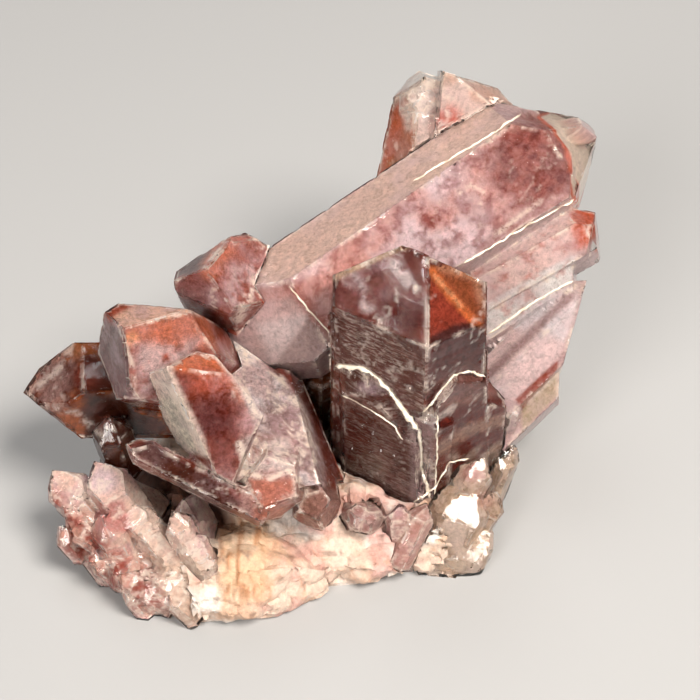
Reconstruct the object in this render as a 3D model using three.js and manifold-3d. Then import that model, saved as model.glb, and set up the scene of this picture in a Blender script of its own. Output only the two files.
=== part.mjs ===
// A cluster of red phantom quartz on its matrix rock, in millimetres, with +Z up.
// Every crystal is the space inside its flat faces: six prism faces, tip faces and a foot.
// Crystals that grew into each other are joined in one solid.

import * as THREE from 'three';
import { ConvexGeometry } from 'three/addons/geometries/ConvexGeometry.js';
import { mergeVertices } from 'three/addons/utils/BufferGeometryUtils.js';
import Module from 'manifold-3d';

const wasm = await Module();
wasm.setup();

// Driving dimensions
const SHOW_TILT = 44; // degrees that the show plane leans back from the ground
const BASE_DROP = 32; // from the middle of the show plane down to the flat underside
const GAP = 0.3; // room left between neighbouring solids
const TIP_SLOPE = 38.2; // degrees between a quartz tip face and the crystal's long axis
const MERGE = 1e-4; // corners nearer than this are one corner
const PARALLEL = 1e-4; // three planes whose determinant is under this don't meet in a corner
const ON_FACE = 1e-5; // a corner this far past a face still counts as on it
const SAME_CORNER = 1e-3; // corners nearer than this are found twice
const GOLDEN_TURN = 2.39996; // radians between neighbours on an evenly covered ball
const POLISH = 0.25; // roughness of the crystal faces

const radians = THREE.MathUtils.degToRad;
const vector = (numbers) => new THREE.Vector3(...numbers);

// Places are measured on the show plane, the side that faces the viewer:
// across to the right, rise up the plane and out towards the viewer.
const acrossAxis = new THREE.Vector3(1, 0, 0);
const riseAxis = new THREE.Vector3(0, Math.sin(radians(SHOW_TILT)), Math.cos(radians(SHOW_TILT)));
const outAxis = new THREE.Vector3(0, -Math.cos(radians(SHOW_TILT)), Math.sin(radians(SHOW_TILT)));

function place([across, rise, out]) {
  return new THREE.Vector3()
    .addScaledVector(acrossAxis, across)
    .addScaledVector(riseAxis, rise)
    .addScaledVector(outAxis, out);
}

// A seeded source of even numbers from 0 to 1, so that every build is the same.
// Its multiplier, step and range are a common linear congruential generator's.
const RANDOM_MULTIPLIER = 1664525;
const RANDOM_STEP = 1013904223;
const RANDOM_RANGE = 2 ** 32;

function randomSource(seed) {
  let state = seed;
  return () => {
    state = (state * RANDOM_MULTIPLIER + RANDOM_STEP) % RANDOM_RANGE;
    return state / RANDOM_RANGE;
  };
}

// Solids

function solidOf(geometry) {
  geometry.deleteAttribute('normal');
  geometry.deleteAttribute('uv');
  const merged = mergeVertices(geometry, MERGE);
  return new wasm.Manifold(new wasm.Mesh({
    numProp: 3,
    vertProperties: new Float32Array(merged.getAttribute('position').array),
    triVerts: new Uint32Array(merged.index.array),
  }));
}

// The corners where three of the planes meet and no other plane cuts them off.
function cornersInside(planes) {
  const corners = [];
  const matrix = new THREE.Matrix3();
  for (let i = 0; i < planes.length; i++) {
    for (let j = i + 1; j < planes.length; j++) {
      for (let k = j + 1; k < planes.length; k++) {
        const [a, b, c] = [planes[i].normal, planes[j].normal, planes[k].normal];
        matrix.set(a.x, a.y, a.z, b.x, b.y, b.z, c.x, c.y, c.z);
        if (Math.abs(matrix.determinant()) < PARALLEL) continue;
        const corner = new THREE.Vector3(-planes[i].constant, -planes[j].constant, -planes[k].constant);
        corner.applyMatrix3(matrix.invert());
        const cutOff = planes.some((plane) => plane.distanceToPoint(corner) > ON_FACE);
        const known = corners.some((other) => other.distanceTo(corner) < SAME_CORNER);
        if (!cutOff && !known) corners.push(corner);
      }
    }
  }
  return corners;
}

// One crystal's faces. along points from foot to tip, and face 0 looks towards facing.
// sides: distance of each prism face from the axis, or [at the foot, at the tip].
// tops: how far down the axis each tip face crosses it. tails: the same at the foot.
// cuts: extra flat faces, each through a place and facing a direction.
function crystalPlanes({ tip, along, length, facing, sides, tops, tails, cuts = [] }) {
  const end = place(tip);
  const axis = place(along).normalize();
  const front = place(facing).addScaledVector(axis, -place(facing).dot(axis)).normalize();
  const side = new THREE.Vector3().crossVectors(axis, front);
  const foot = end.clone().addScaledVector(axis, -length);
  const radial = (k) => {
    const angle = radians(60 * k);
    return front.clone().multiplyScalar(Math.cos(angle)).addScaledVector(side, Math.sin(angle));
  };
  const plane = (normal, point) => new THREE.Plane().setFromNormalAndCoplanarPoint(normal.normalize(), point);
  const planes = [];
  for (let k = 0; k < 6; k++) {
    const [atFoot, atTip] = Array.isArray(sides[k]) ? sides[k] : [sides[k], sides[k]];
    const leaning = radial(k).addScaledVector(axis, (atFoot - atTip) / length);
    planes.push(plane(leaning, end.clone().addScaledVector(radial(k), atTip)));
    const sloped = radial(k)
      .multiplyScalar(Math.cos(radians(TIP_SLOPE)))
      .addScaledVector(axis, Math.sin(radians(TIP_SLOPE)));
    planes.push(plane(sloped, end.clone().addScaledVector(axis, -tops[k])));
    if (tails) {
      const under = radial(k)
        .multiplyScalar(Math.cos(radians(TIP_SLOPE)))
        .addScaledVector(axis, -Math.sin(radians(TIP_SLOPE)));
      planes.push(plane(under, foot.clone().addScaledVector(axis, tails[k])));
    }
  }
  if (!tails) planes.push(plane(axis.clone().negate(), foot));
  for (const cut of cuts) planes.push(plane(place(cut.facing), place(cut.through)));
  return planes;
}

function solidInside(planes, grow) {
  const pushed = planes.map((plane) => new THREE.Plane(plane.normal, plane.constant - grow));
  return solidOf(new ConvexGeometry(cornersInside(pushed)));
}

// A rough block of rock: a hull round points scattered on an ellipsoid.
// ground is its middle: across, back from the middle of the specimen, and up from the underside.
const LUMP_REACH = 0.82; // the least share of its size that a lump reaches
const LUMP_ROUGHNESS = 0.26; // how much further its corners may stand out

function lumpPoints({ ground, size, seed, points = 30 }, grow) {
  const random = randomSource(seed);
  const list = [];
  const middle = new THREE.Vector3(ground[0], ground[1], ground[2] - BASE_DROP);
  for (let i = 0; i < points; i++) {
    const height = 1 - (2 * (i + 0.5)) / points;
    const turn = i * GOLDEN_TURN + random() * 0.5;
    const ring = Math.sqrt(1 - height * height);
    const reach = LUMP_REACH + LUMP_ROUGHNESS * random();
    list.push(new THREE.Vector3(
      (size[0] * reach + grow) * ring * Math.cos(turn),
      (size[1] * reach + grow) * ring * Math.sin(turn),
      (size[2] * reach + grow) * height,
    ).add(middle));
  }
  return list;
}

// A crystal whose faces are given one by one.
function blockPlanes(faces) {
  return faces.map(({ through, facing }) => (
    new THREE.Plane().setFromNormalAndCoplanarPoint(place(facing).normalize(), place(through))
  ));
}

function joined(solids) {
  return solids.reduce((whole, next) => whole.add(next));
}

function groupSolid({ crystals = [], blocks = [], lumps = [] }, grow = 0) {
  return joined([
    ...blocks.map((block) => solidInside(blockPlanes(block), grow)),
    ...crystals.map((crystal) => solidInside(crystalPlanes(crystal), grow)),
    ...lumps.map((lump) => solidOf(new ConvexGeometry(lumpPoints(lump, grow)))),
  ]);
}

// A crystal parallel to another, shifted to its right, outwards and down its axis.
function beside(main, { right = 0, out = 0, down = 0, ...changes }) {
  const axis = vector(main.along).normalize();
  const front = vector([0, 0, 1]).addScaledVector(axis, -axis.z).normalize();
  const side = new THREE.Vector3().crossVectors(axis, front);
  const tip = vector(main.tip)
    .addScaledVector(side, right)
    .addScaledVector(front, out)
    .addScaledVector(axis, -down);
  return { ...main, cuts: [], tip: tip.toArray(), ...changes };
}

// Front prism: the tall crystal in front, with its stepped overgrowths
const frontMain = {
  tip: [11, 22.8, 36.3],
  along: [0, 0.643, 0.766],
  length: 67,
  facing: [-0.5, -0.663, 0.557],
  sides: [[12, 10.8], [15.4, 13.8], [15.4, 13.9], [12, 11], [12, 11], [15.2, 13.9]],
  tops: [3.8, 0, -5.9, 6.8, 4.8, -8],
};
const frontPrism = {
  blocks: [
    // overgrowth on the left prism face
    [
      { through: [3.9, -17.7, 6.1], facing: [-0.5, -0.65, 0.57] },
      { through: [2.3, -3.2, 17.8], facing: [-0.61, -0.37, 0.7] },
      { through: [2.3, -3.2, 17.8], facing: [0.05, -0.3, 0.95] },
      { through: [13.7, -15.8, 13.5], facing: [0.85, -0.36, 0.39] },
      { through: [-2.3, -5.8, 10.9], facing: [-0.96, -0.22, 0.19] },
      { through: [7.6, 18.2, 40], facing: [0.5, 0.65, -0.57] },
      { through: [5, -28, -8], facing: [0, -0.64, -0.77] },
    ],
    // overgrowth on the right prism face
    [
      { through: [20, -11.4, 16.6], facing: [0.5, -0.65, 0.57] },
      { through: [19.5, -4.7, 21.9], facing: [-0.67, 0.2, 0.72] },
      { through: [19.5, -4.7, 21.9], facing: [0.61, 0.32, 0.72] },
      { through: [26.8, -8, 10], facing: [0.95, 0, 0.1] },
      { through: [15, -13, 14], facing: [-0.96, -0.1, 0.2] },
      { through: [15.9, 16.2, 41.7], facing: [-0.5, 0.65, -0.57] },
      { through: [5, -28, -8], facing: [0, -0.64, -0.77] },
    ],
  ],
  crystals: [
    frontMain,
    beside(frontMain, {
      right: 9, out: 4, down: 32, length: 34,
      sides: [10, 8, 10.7, 5, 5, 6], tops: [0, 0, 0, 0, 0, 0],
    }),
    beside(frontMain, {
      right: 4.6, out: 12.6, down: 34, length: 32,
      sides: [3.4, 4.2, 4.2, 3, 4.2, 4.2], tops: [0, 0, 0, 0, 0, 0],
    }),
    beside(frontMain, {
      right: -17, out: -9, down: 41, length: 32,
      sides: [6, 6, 5, 5, 5, 6], tops: [2, 2, 2, 2, 2, 2],
    }),
  ],
};

// Long crystals: the big slanting crystal and the parallel ones under it
const longMain = {
  tip: [52.2, 49.1, -7],
  along: [0.834, 0.552, -0.1],
  length: 92,
  facing: [0.097, -0.144, 0.985],
  sides: [[11, 11], [11.6, 14.2], 12, 11, 12, [11.6, 14.2]],
  tops: [2, 0, 0, 2, 4, 4],
  tails: [-2, -2, -6, -6, -6, -6],
  cuts: [
    { through: [47.3, 45.5, -4], facing: [0.6, 0.65, 0.3] },
    { through: [50.5, 38.8, -4], facing: [0.95, 0.15, 0.1] },
    { through: [48.5, 33.4, -4], facing: [0.8, -0.5, 0.2] },
    { through: [-11.7, 12.2, 12], facing: [-0.36, -0.37, 0.86] },
  ],
};
const longCrystals = {
  crystals: [
    longMain,
    {
      tip: [54, 27, -3], along: [0.87, 0.492, 0], length: 52, facing: [0.1, -0.14, 0.98],
      sides: [6, 5.2, 6, 6, 7, 6.4], tops: [0, 1, 0, 1, 0, 1],
      cuts: [{ through: [49.6, 26, -3], facing: [0.95, 0.1, 0.2] }],
    },
    {
      tip: [51, 20.5, -4], along: [0.846, 0.533, 0], length: 42, facing: [0.1, -0.14, 0.98],
      sides: [5, 4.6, 5, 5, 6, 6], tops: [2, 2, 2, 2, 2, 2],
      cuts: [{ through: [45.6, 16.5, -4], facing: [1, 0, 0.2] }],
    },
    {
      tip: [50, 11.5, -4], along: [0.723, 0.691, 0], length: 36, facing: [0.2, -0.2, 0.96],
      sides: [6, 6.2, 6, 6, 6, 6.4], tops: [-4, -4, -4, -4, -4, -4],
      cuts: [
        { through: [45.6, 7.7, 0], facing: [0.96, -0.27, 0.1] },
        { through: [30, -13.4, 0], facing: [-0.3, -0.95, 0] },
      ],
    },
    {
      tip: [50, 3.2, -9], along: [0.72, 0.69, 0], length: 34, facing: [0.2, -0.2, 0.96],
      sides: [6, 5, 5, 5, 5, 6], tops: [-4, -4, -4, -4, -4, -4],
      cuts: [{ through: [42.3, -8, -4], facing: [1, 0, 0.1] }],
    },
    {
      tip: [33, -10, 1], along: [0.1, 0.7, 0.7], length: 24, facing: [0, -0.7, 0.7],
      sides: [1.8, 1.6, 1.6, 3, 1.6, 1.6], tops: [0, 0.5, 0, 0.5, 0, 0.5],
    },
  ],
};

// Back crystals: the blocky group behind the upper end of the long crystal
const backCrystals = {
  blocks: [
    [
      { through: [12.6, 42, 0], facing: [-0.75, 0, 0.66] },
      { through: [12.6, 42, 0], facing: [0.3, -0.15, 0.94] },
      { through: [8.2, 43.3, -12], facing: [-0.957, 0.25, -0.2] },
      { through: [11.2, 53.5, -6], facing: [-0.6, 0.75, 0.2] },
      { through: [16.3, 55.2, -4], facing: [0.3, 0.9, 0.2] },
      { through: [20, 40, -10], facing: [1, 0, 0] },
      { through: [10, 40, -17], facing: [0, 0.2, -1] },
      { through: [10, 10, -10], facing: [-0.1, -0.9, -0.3] },
    ],
    [
      { through: [17.4, 50, -4], facing: [-1, 0.1, 0] },
      { through: [20.2, 44.4, 1], facing: [0.1, -0.25, 0.96] },
      { through: [25.7, 54.2, -4], facing: [0.28, 0.94, 0.15] },
      { through: [27.7, 50.3, 0], facing: [0.62, 0.62, 0.45] },
      { through: [33.1, 50.7, -5], facing: [0.72, 0.66, -0.1] },
      { through: [36, 40, -10], facing: [1, 0, -0.2] },
      { through: [20, 40, -19], facing: [0, 0.2, -1] },
      { through: [20, 8, -10], facing: [0, -1, -0.2] },
    ],
  ],
  lumps: [
    { ground: [14, 36, 66.6], size: [4.6, 4, 4], seed: 9, points: 24 },
  ],
};

// Upper left crystal, seen nearly down its axis
const upperLeft = {
  crystals: [
    {
      tip: [-27.5, 15.3, 19], along: [-0.1, 0.3, 0.95], length: 42, facing: [0.57, -0.82, 0],
      sides: [8, 13.5, 13, 6.3, 6.9, 5], tops: [-5, 0, -5, 0, -5, 0],
    },
  ],
};

// Left crystal
const left = {
  crystals: [
    {
      tip: [-41.8, 3.85, 30], along: [-0.25, 0.15, 0.95], length: 42, facing: [0.087, 0.996, 0],
      sides: [5.9, 6.8, 10, 12, 12.4, 11], tops: [0, -4, 0, -6, 0, -6],
    },
  ],
};

// Centre left crystal with its milky root
const centreLeft = {
  blocks: [
    [
      { through: [-25.9, -13, 27], facing: [0.25, -0.25, 0.93] },
      { through: [-26.6, -4, 29.6], facing: [0.3, 0.75, 0.6] },
      { through: [-31.2, -9.4, 29.7], facing: [-0.75, -0.5, 0.45] },
      { through: [-26.1, -23.1, 24.3], facing: [-0.5, -0.8, -0.1] },
      { through: [-38, -8.3, 22], facing: [-0.9, -0.33, -0.25] },
      { through: [-37.2, -4.3, 26], facing: [-0.4, 0.85, 0.1] },
      { through: [-29.2, -0.4, 24], facing: [0.1, 0.95, -0.2] },
      { through: [-20.4, -6.9, 24], facing: [0.75, 0.6, -0.1] },
      { through: [-19.2, -19.5, 22], facing: [0.85, -0.35, 0] },
      { through: [-25, -10, 6], facing: [0.1, -0.2, -0.97] },
    ],
    [
      { through: [-12, -18, 13], facing: [0.3, 0.55, 0.78] },
      { through: [-11, -10, 10], facing: [0.925, 0.38, 0.2] },
      { through: [-24.5, 7.2, 16], facing: [0.1, 0.98, 0.1] },
      { through: [-29, 7.2, 12], facing: [-0.95, -0.3, 0.1] },
      { through: [-12, -27, 16], facing: [0.2, -0.95, 0.1] },
      { through: [-18, -8, -4], facing: [0, 0, -1] },
    ],
  ],
  crystals: [
    {
      tip: [-42.5, -17.8, 20], along: [-0.88, 0.44, 0.05], length: 30, facing: [0.4, 0.7, 0.6],
      sides: [3.5, 2.4, 2, 3, 2.4, 2.5], tops: [0, -1, 0, -1, 0, -1],
    },
    {
      tip: [-17.2, -32.5, 27], along: [-0.15, -0.45, 0.88], length: 26, facing: [0.3, 0.95, 0],
      sides: [6.6, 6, 5.6, 5, 5.6, 6], tops: [5, 0, 5, 0, 5, 0],
    },
    {
      tip: [-5.8, -33.5, 19], along: [0.1, -0.4, 0.91], length: 18, facing: [-0.3, 0.95, 0],
      sides: [3.8, 4, 4.4, 3.6, 4.6, 4], tops: [2, 0, 2, 0, 2, 0],
    },
  ],
  lumps: [
    { ground: [-21, -27.5, 27], size: [3.4, 3.4, 5], seed: 5, points: 20 },
  ],
};

// Small crystals in front of the front prism's foot
const smallFront = {
  crystals: [
    {
      tip: [4.8, -34.4, 12], along: [0.25, -0.15, 0.95], length: 20, facing: [0, 1, 0],
      sides: [2.2, 3.4, 3.8, 2.4, 3.2, 3.4], tops: [2, 1, 2, 1, 2, 1],
    },
    {
      tip: [0.8, -32.8, 11], along: [-0.2, 0, 0.97], length: 18, facing: [0.3, 0.95, 0],
      sides: [2.4, 2.4, 2, 2.4, 2.4, 2], tops: [1, 0, 1, 0, 1, 0],
    },
    {
      tip: [15.8, -29.6, 6], along: [0.44, 0.88, 0.2], length: 15, facing: [-0.1, -0.1, 1],
      sides: [2.4, 2.4, 2.6, 4, 2.6, 2.4], tops: [1, 0, 1, 0, 0, 1],
    },
    {
      tip: [9.4, -29.4, 8], along: [-0.08, 0.8, 0.58], length: 18, facing: [0, -0.58, 0.8],
      sides: [2.2, 2.6, 2.6, 3, 2.6, 2.6], tops: [1, 0, 1, 0, 1, 0],
    },
  ],
};

// Far left crystals: a broad tip that points left, and a dark rounded crystal under it
const farLeft = {
  crystals: [
    {
      tip: [-65, -8.5, 2], along: [-0.98, 0, 0.15], length: 44, facing: [0, 0.5, 0.86],
      sides: [9, 10, 9, 9, 9, 9], tops: [0, -3, 0, -3, 0, -3],
    },
    {
      tip: [-47, -11, 14], along: [-0.1, 0.72, 0.68], length: 18, facing: [0, -0.5, 0.6],
      sides: [4, 3.6, 3.6, 5, 3.6, 3.6], tops: [2, 2, 2, 2, 2, 2],
    },
  ],
};

// Druse ridge at the lower left: two rows of long crystals that lean to the left,
// with small ones scattered down the bowed outer edge
const ridgeCurve = new THREE.CatmullRomCurve3([
  new THREE.Vector3(-59.4, -29, 3),
  new THREE.Vector3(-56.4, -36, 5),
  new THREE.Vector3(-49, -43, 7),
  new THREE.Vector3(-43, -45.6, 8),
  new THREE.Vector3(-37, -46.4, 7.4),
]);

function ridgeCrystals() {
  const random = randomSource(21);
  const list = [];
  const count = 30;
  for (let i = 0; i < count; i++) {
    const at = ridgeCurve.getPoint(i / (count - 1));
    const inward = 6 * random();
    const size = 1.4 + 1.4 * random();
    list.push({
      tip: [at.x + inward * 0.8, at.y + inward * 0.7, at.z + 2.4 + 3 * random()],
      along: [-0.75 + 0.4 * random(), 0.35 + 0.4 * random(), 0.35 + 0.3 * random()],
      length: 10,
      facing: [random() - 0.5, 0.2, 1],
      sides: [size, size * 1.2, size, size * 1.1, size, size * 1.2],
      tops: [1, 0, 1, 0, 1, 0],
    });
  }
  return list;
}

// A row of crystals that step down from the first tip to the last.
function crystalRow({ from, to, count, along, width, length, seed }) {
  const random = randomSource(seed);
  const list = [];
  for (let i = 0; i < count; i++) {
    const share = i / (count - 1);
    const tip = vector(from).lerp(vector(to), share);
    const size = width * (1 - 0.3 * share) * (0.85 + 0.3 * random());
    list.push({
      tip: tip.toArray(),
      along: vector(along).add(new THREE.Vector3(0.14 * random(), 0.14 * random(), 0.1 * random())).toArray(),
      length,
      facing: [0.3 * random(), -0.2, 1],
      sides: [size, size, size * 0.9, size, size * 0.9, size],
      tops: [1.4 * random(), 0, 1.4 * random(), 0, 1.4 * random(), 0],
    });
  }
  return list;
}

const druse = {
  crystals: [
    ...ridgeCrystals(),
    {
      tip: [-59.4, -22.8, 7], along: [-0.6, 0.72, 0.35], length: 28, facing: [0.1, -0.25, 0.95],
      sides: [4.2, 4.4, 4, 4, 4, 4.2], tops: [2.4, 0, 1, 0, 1, 0],
    },
    {
      tip: [-50.6, -20.6, 11], along: [-0.5, 0.8, 0.34], length: 30, facing: [0.1, -0.25, 0.95],
      sides: [4.4, 4.4, 4.2, 4, 4, 4.2], tops: [2.8, 0, 1, 0, 1, 0],
    },
    {
      tip: [-48.4, -31, 13], along: [-0.3, 0.75, 0.6], length: 24, facing: [0.1, -0.6, 0.8],
      sides: [3.6, 3.6, 3.6, 3.6, 3.6, 3.6], tops: [0, 1, 0, 1, 0, 1],
    },
    ...crystalRow({
      from: [-44.5, -29, 11], to: [-33, -41, 9], count: 5, along: [-0.6, 0.7, 0.3],
      width: 3.6, length: 24, seed: 31,
    }),
    ...crystalRow({
      from: [-35, -30.4, 14], to: [-27, -42, 11.5], count: 4, along: [-0.45, 0.75, 0.42],
      width: 3.2, length: 22, seed: 32,
    }),
  ],
  lumps: [
    { ground: [-47, -22, 9], size: [11, 9, 6], seed: 3 },
    { ground: [-43, -29, 4], size: [12, 9, 7], seed: 4 },
    { ground: [-34, -36, 2], size: [12, 8, 6], seed: 7 },
    { ground: [-31, -27, 9], size: [5, 7, 7], seed: 8 },
  ],
};

// Clear quartz cluster at the lower right
const clearCluster = {
  crystals: [
    {
      tip: [24.4, -24, 5], along: [0.3, 0.88, 0.4], length: 25, facing: [-0.1, -0.4, 0.9],
      sides: [5, 5.6, 5.4, 5, 5, 5.6], tops: [3, 1, 1, 3, 0, 2],
    },
    {
      tip: [33.2, -17.6, -5], along: [0.34, 0.9, 0.3], length: 27, facing: [0.1, -0.26, 0.96],
      sides: [4, 2.8, 2.6, 4, 4, 3], tops: [1, 1, 0, 1, 1, 0],
    },
    {
      tip: [27.6, -20.2, 4], along: [0.46, 0.8, 0.34], length: 20, facing: [0, -0.4, 0.9],
      sides: [3.4, 3.4, 3.4, 3.6, 3.6, 3.4], tops: [1, 0, 2, 0, 1, 0],
    },
    {
      tip: [30.2, -27.6, 0], along: [0.5, 0.76, 0.42], length: 20, facing: [0.1, -0.4, 0.9],
      sides: [3.4, 3.4, 3.4, 3, 3.4, 3.4], tops: [1, 0, 1, 0, 1, 0],
    },
  ],
  lumps: [
    { ground: [22.5, -24.5, 2], size: [8, 8, 6], seed: 6, points: 40 },
  ],
};

// Matrix rock: broad rough blocks, knobs scattered over them and a few crystals at the back
function matrixKnobs() {
  const random = randomSource(41);
  const list = [];
  const count = 20;
  for (let i = 0; i < count; i++) {
    const turn = radians(-30 + (240 * i) / (count - 1));
    const reach = 0.76 + 0.2 * random();
    list.push({
      ground: [-8 + 35 * reach * Math.cos(turn), -5 + 31 * reach * Math.sin(turn), 1 + 7 * random()],
      size: [5 + 4 * random(), 4 + 4 * random(), 3 + 2 * random()],
      seed: 60 + i,
      points: 14,
    });
  }
  return list;
}

function rearCrystals() {
  const random = randomSource(77);
  const list = [];
  const count = 9;
  for (let i = 0; i < count; i++) {
    const turn = radians(20 + (150 * i) / (count - 1));
    const outward = new THREE.Vector3(Math.cos(turn), Math.sin(turn), 0.5 + 0.7 * random());
    const foot = new THREE.Vector3(-2 + 26 * Math.cos(turn), 22 * Math.sin(turn), 12 - BASE_DROP);
    const length = 14 + 6 * random();
    const tip = foot.addScaledVector(outward.clone().normalize(), length);
    const size = 2.6 + 2 * random();
    list.push({
      tip: [tip.x, tip.dot(riseAxis), tip.dot(outAxis)],
      along: [outward.x, outward.dot(riseAxis), outward.dot(outAxis)],
      length,
      facing: [random(), 1, random()],
      sides: [size, size * 1.1, size, size, size * 1.1, size],
      tops: [0, 1, 0, 1, 0, 1],
    });
  }
  return list;
}

const matrix = {
  crystals: rearCrystals(),
  lumps: [
    { ground: [-6, -8, 3], size: [39, 30, 9], seed: 11, points: 50 },
    { ground: [-24, -34, 3], size: [20, 12, 9], seed: 12, points: 40 },
    { ground: [0, -22, 3], size: [20, 10, 8], seed: 13, points: 40 },
    { ground: [16, -23, 3], size: [13, 10, 9], seed: 15 },
    { ground: [17, 6, 5], size: [18, 25, 13], seed: 16, points: 40 },
    { ground: [6, 17, 17], size: [23, 15, 15], seed: 14, points: 40 },
    ...matrixKnobs(),
  ],
};

// Nodes, each cut clear of those before it

const nodes = [
  ['front_prism', frontPrism, 0x8f5a50],
  ['long_crystals', longCrystals, 0xa0685f],
  ['upper_left_crystal', upperLeft, 0xa0604f],
  ['left_crystal', left, 0xa0604f],
  ['centre_left_crystal', centreLeft, 0xa85f4c],
  ['small_front_crystals', smallFront, 0x96605a],
  ['far_left_crystals', farLeft, 0x9c7266],
  ['back_crystals', backCrystals, 0xb08070],
  ['druse_ridge', druse, 0xc09a92],
  ['clear_quartz_cluster', clearCluster, 0xd0c0b4],
  ['matrix_rock', matrix, 0xd8b48c],
];

// Everything below the flat underside
function floorCut() {
  const width = 400;
  const depth = 200;
  const box = new THREE.BoxGeometry(width, width, depth);
  box.translate(0, 0, -BASE_DROP - depth / 2);
  return solidOf(box);
}

// A cut can leave a loose flake behind, which is dropped.
function largestPiece(solid) {
  const pieces = solid.decompose();
  return pieces.reduce((best, piece) => (piece.volume() > best.volume() ? piece : best));
}

function meshOf(name, solid, color) {
  const data = solid.getMesh();
  const geometry = new THREE.BufferGeometry();
  geometry.setAttribute('position', new THREE.BufferAttribute(new Float32Array(data.vertProperties), 3));
  geometry.setIndex(new THREE.BufferAttribute(new Uint32Array(data.triVerts), 1));
  const look = { color, roughness: POLISH, metalness: 0, flatShading: true };
  const mesh = new THREE.Mesh(geometry, new THREE.MeshStandardMaterial(look));
  mesh.name = name;
  return mesh;
}

const specimen = new THREE.Group();
let taken = floorCut();
for (const [name, group, color] of nodes) {
  const solid = largestPiece(groupSolid(group).subtract(taken));
  taken = taken.add(groupSolid(group, GAP));
  specimen.add(meshOf(name, solid, color));
}

const bounds = new THREE.Box3().setFromObject(specimen);
specimen.position.set(
  -(bounds.min.x + bounds.max.x) / 2,
  -(bounds.min.y + bounds.max.y) / 2,
  -bounds.min.z,
);

export default specimen;
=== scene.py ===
# Looks of the red phantom quartz cluster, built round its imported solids.
# Sizes are in millimetres and colours in sRGB until they reach Blender.

import math

import bmesh
import bpy
import numpy as np
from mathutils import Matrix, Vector
from mathutils.bvhtree import BVHTree
from mathutils.kdtree import KDTree


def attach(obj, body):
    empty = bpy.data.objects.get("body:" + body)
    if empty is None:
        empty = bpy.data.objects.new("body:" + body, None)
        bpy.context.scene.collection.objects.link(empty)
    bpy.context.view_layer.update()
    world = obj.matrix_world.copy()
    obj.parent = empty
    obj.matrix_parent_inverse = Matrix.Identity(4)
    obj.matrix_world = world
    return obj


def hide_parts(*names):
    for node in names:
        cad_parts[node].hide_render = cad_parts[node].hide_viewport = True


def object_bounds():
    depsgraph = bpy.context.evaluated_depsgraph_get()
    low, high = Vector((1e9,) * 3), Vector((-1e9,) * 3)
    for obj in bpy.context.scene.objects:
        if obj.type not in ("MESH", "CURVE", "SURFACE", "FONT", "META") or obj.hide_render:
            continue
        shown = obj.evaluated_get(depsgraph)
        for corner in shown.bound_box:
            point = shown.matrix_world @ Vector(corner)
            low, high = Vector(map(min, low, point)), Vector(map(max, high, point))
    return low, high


# Driving dimensions
MM = 0.001
SHOW_TILT = math.radians(44)  # the show plane leans back this far from the ground
VIEWING_DISTANCE = 360.0  # from the middle of the show plane to the camera
FRAME_WIDTH = 140.0  # what the camera sees across, on the show plane
SENSOR = 36.0
MIDDLE = np.array((7.1295, -2.6270, 32.0))  # middle of the show plane, in the row frame

# The show plane: across to the right, rise up the plane, out towards the viewer
ACROSS = np.array((1.0, 0.0, 0.0))
RISE = np.array((0.0, math.sin(SHOW_TILT), math.cos(SHOW_TILT)))
OUT = np.array((0.0, -math.cos(SHOW_TILT), math.sin(SHOW_TILT)))
SHOW_AXES = np.array((ACROSS, RISE, OUT))
EYE = Vector((MIDDLE + OUT * VIEWING_DISTANCE) * MM)  # where the camera stands, in metres

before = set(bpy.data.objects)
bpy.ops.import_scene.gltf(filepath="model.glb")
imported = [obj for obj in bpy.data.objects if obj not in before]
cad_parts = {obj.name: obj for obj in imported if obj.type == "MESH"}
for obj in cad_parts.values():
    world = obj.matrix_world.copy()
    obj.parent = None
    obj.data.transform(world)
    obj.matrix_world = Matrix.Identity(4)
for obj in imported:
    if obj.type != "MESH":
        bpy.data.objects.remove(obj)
cad_low, cad_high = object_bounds()


def to_show(row_points):
    """Row frame, metres, to show plane, millimetres."""
    return (row_points / MM - MIDDLE) @ SHOW_AXES.T


def to_row(show_points):
    """Show plane, millimetres, to row frame, metres."""
    return (show_points @ SHOW_AXES + MIDDLE) * MM


def seen(points):
    """Where points in front of or behind the show plane are seen on it."""
    return points[:, :2] * (VIEWING_DISTANCE / (VIEWING_DISTANCE - points[:, 2:3]))


def unit(direction):
    direction = np.asarray(direction, float)
    return direction / np.linalg.norm(direction)


def colour(code):
    """An sRGB code such as 8a4a3c as linear light."""
    values = np.array([int(code[i : i + 2], 16) / 255 for i in (0, 2, 4)])
    return np.where(values <= 0.04045, values / 12.92, ((values + 0.055) / 1.055) ** 2.4)


# Noise, the same every run

# Large odd numbers that scatter whole places and seeds
MIX_X = 374761393
MIX_Y = 668265263
MIX_Z = 1440662683
MIX_SEED = 974634777
MIX_AGAIN = 1274126177
LOW_BITS = 0xFFFFFF
OCTAVE_SHIFT = 17.3  # keeps the layers of a noise from lining up


def lattice(ix, iy, iz, seed):
    """A number from 0 to 1 that belongs to a whole place and a seed."""
    mixed = ix * MIX_X + iy * MIX_Y + iz * MIX_Z + seed * MIX_SEED
    mixed = (mixed ^ (mixed >> 13)) * MIX_AGAIN
    mixed = mixed ^ (mixed >> 16)
    return (mixed & LOW_BITS) / LOW_BITS


def value_noise(points, seed):
    """Smooth noise from 0 to 1, with features about one unit apart."""
    cell = np.floor(points).astype(np.int64)
    part = points - cell
    part = part * part * (3 - 2 * part)
    total = 0
    for corner in np.ndindex(2, 2, 2):
        weight = np.prod(np.where(corner, part, 1 - part), axis=1)
        total = total + weight * lattice(*(cell + corner).T, seed)
    return total


def cloud(points, size, seed, octaves=4):
    """Layered noise from about 0 to 1. size is the largest feature, one number or one for each axis."""
    scaled = points / np.asarray(size, float)
    total = 0
    share = 0
    for octave in range(octaves):
        strength = 0.5**octave
        total = total + strength * value_noise(scaled * 2**octave + OCTAVE_SHIFT * octave, seed + octave)
        share += strength
    return total / share


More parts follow.
